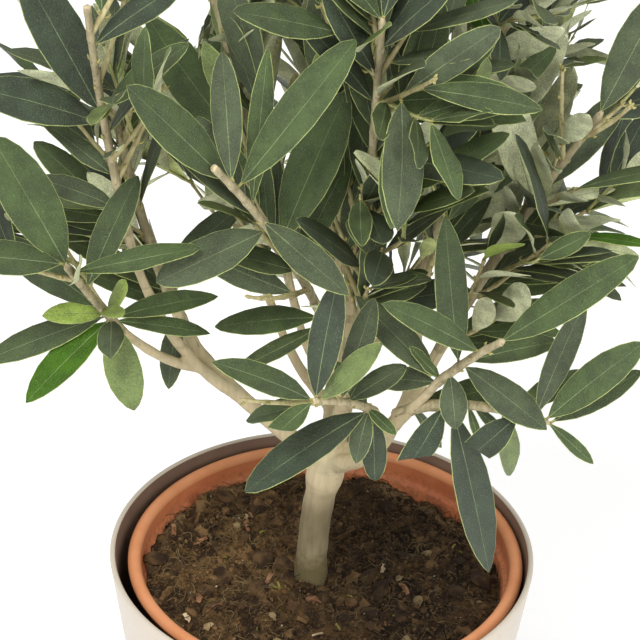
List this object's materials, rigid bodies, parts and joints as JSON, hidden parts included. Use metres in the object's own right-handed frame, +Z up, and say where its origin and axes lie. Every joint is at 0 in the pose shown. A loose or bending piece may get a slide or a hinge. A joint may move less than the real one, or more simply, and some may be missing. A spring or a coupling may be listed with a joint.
{
  "type": "potted olive tree",
  "caption": "Young olive tree with a short leaning trunk, spreading boughs and masses of narrow leaves, in a clay-coloured grow pot inside a thin pale cover pot.",
  "frame": {"origin": "middle of the cover pot's flat underside", "axes": "+Z up along the pot's axis to the top of the crown, +Y from the front of the tree to its back, +X to the right as seen from the front"},
  "size_m": [0.3161, 0.255, 0.5258],
  "materials": {
    "cover_pot": "satin off-white with a faint pink cast",
    "grow_pot": "matte clay colour",
    "peat": "damp peat with bark chips",
    "bark": "smooth grey-beige bark",
    "leaves": "matte grey-green leaves"
  },
  "bodies": {
    "root": {"bough_back": "bark", "bough_centre": "bark", "bough_front": "bark", "bough_left": "bark", "bough_right": "bark", "cover_pot": "cover_pot", "grow_pot": "grow_pot", "leaves_back": "leaves", "leaves_back_left": "leaves", "leaves_back_right": "leaves", "leaves_back_top": "leaves", "leaves_front_left": "leaves", "leaves_front_mid": "leaves", "leaves_front_right": "leaves", "leaves_left": "leaves", "leaves_left_low": "leaves", "leaves_left_tall": "leaves", "leaves_right": "leaves", "leaves_right_low": "leaves", "leaves_right_top": "leaves", "leaves_top": "leaves", "leaves_top_front": "leaves", "leaves_top_left": "leaves", "limb_back_left": "bark", "limb_back_right": "bark", "limb_back_top": "bark", "limb_front_left": "bark", "limb_front_mid": "bark", "limb_front_right": "bark", "limb_left_low": "bark", "limb_left_tall": "bark", "limb_right_top": "bark", "limb_top_front": "bark", "limb_top_left": "bark", "soil": "peat", "trunk": "bark"}
  },
  "joints": []
}
